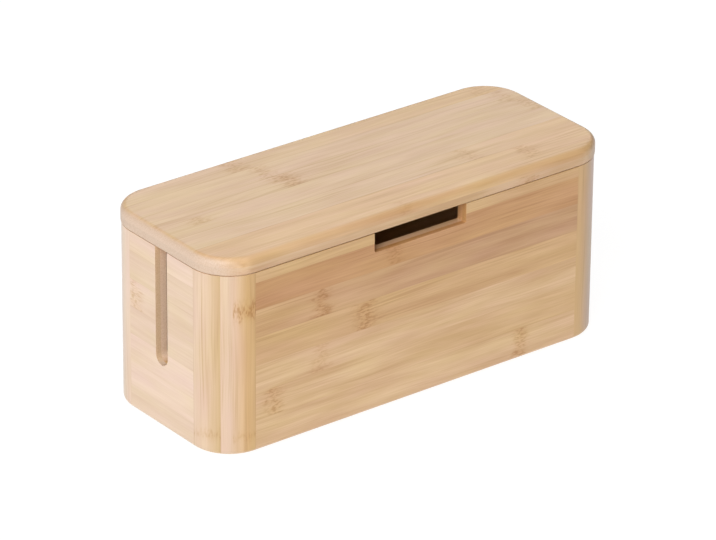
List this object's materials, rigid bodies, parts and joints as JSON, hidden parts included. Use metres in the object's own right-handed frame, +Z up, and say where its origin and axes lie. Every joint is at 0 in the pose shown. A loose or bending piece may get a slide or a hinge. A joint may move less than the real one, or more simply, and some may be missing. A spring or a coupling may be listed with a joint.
{
  "type": "cable management box",
  "caption": "Long bamboo box with rounded corners and a lift-off lid that hides a power strip; cable slots in the ends and a cable notch under the lid at the front.",
  "frame": {"origin": "middle of the underside, in the plane of the pads that it stands on", "axes": "+X along the box towards its right end, -Y out of the front with the notch, +Z up"},
  "size_m": [0.33, 0.1296, 0.1439],
  "materials": {
    "lid_bamboo": "satin",
    "lid_batten": "satin",
    "long_wall_bamboo": "satin",
    "end_wall_bamboo": "satin",
    "post_bamboo": "satin",
    "base_bamboo": "satin",
    "pad_rubber": "matte"
  },
  "bodies": {
    "box": {"back_left_post_end_stave": "post_bamboo", "back_left_post_long_stave": "post_bamboo", "back_panel_inner_strips": "long_wall_bamboo", "back_panel_strip_1": "long_wall_bamboo", "back_panel_strip_2": "long_wall_bamboo", "back_panel_strip_3": "long_wall_bamboo", "back_panel_strip_4": "long_wall_bamboo", "back_panel_strip_5": "long_wall_bamboo", "back_panel_strip_6": "long_wall_bamboo", "back_panel_strip_7": "long_wall_bamboo", "back_right_post_end_stave": "post_bamboo", "back_right_post_long_stave": "post_bamboo", "base_strip_1": "base_bamboo", "base_strip_2": "base_bamboo", "base_strip_3": "base_bamboo", "base_strip_4": "base_bamboo", "base_strip_5": "base_bamboo", "base_strip_6": "base_bamboo", "front_left_post_end_stave": "post_bamboo", "front_left_post_long_stave": "post_bamboo", "front_panel_inner_strips": "long_wall_bamboo", "front_panel_strip_1": "long_wall_bamboo", "front_panel_strip_2": "long_wall_bamboo", "front_panel_strip_3": "long_wall_bamboo", "front_panel_strip_4": "long_wall_bamboo", "front_panel_strip_5": "long_wall_bamboo", "front_panel_strip_6": "long_wall_bamboo", "front_panel_strip_7": "long_wall_bamboo", "front_right_post_end_stave": "post_bamboo", "front_right_post_long_stave": "post_bamboo", "left_end_inner_strips": "end_wall_bamboo", "left_end_strip_1": "end_wall_bamboo", "left_end_strip_2": "end_wall_bamboo", "left_end_strip_3": "end_wall_bamboo", "left_end_strip_4": "end_wall_bamboo", "left_end_strip_5": "end_wall_bamboo", "left_end_strip_6": "end_wall_bamboo", "left_end_strip_7": "end_wall_bamboo", "non_slip_pads": "pad_rubber", "right_end_inner_strips": "end_wall_bamboo", "right_end_strip_1": "end_wall_bamboo", "right_end_strip_2": "end_wall_bamboo", "right_end_strip_3": "end_wall_bamboo", "right_end_strip_4": "end_wall_bamboo", "right_end_strip_5": "end_wall_bamboo", "right_end_strip_6": "end_wall_bamboo", "right_end_strip_7": "end_wall_bamboo"},
    "lid": {"lid_batten_left": "lid_batten", "lid_batten_right": "lid_batten", "lid_lower_strips": "lid_bamboo", "lid_strip_1": "lid_bamboo", "lid_strip_2": "lid_bamboo", "lid_strip_3": "lid_bamboo", "lid_strip_4": "lid_bamboo", "lid_strip_5": "lid_bamboo", "lid_strip_6": "lid_bamboo", "lid_strip_7": "lid_bamboo"}
  },
  "joints": [
    {"name": "lid_lift", "type": "slide", "parent": "box", "child": "lid", "axis": [0, 0, 1], "range_m": [0, 0.15]}
  ]
}
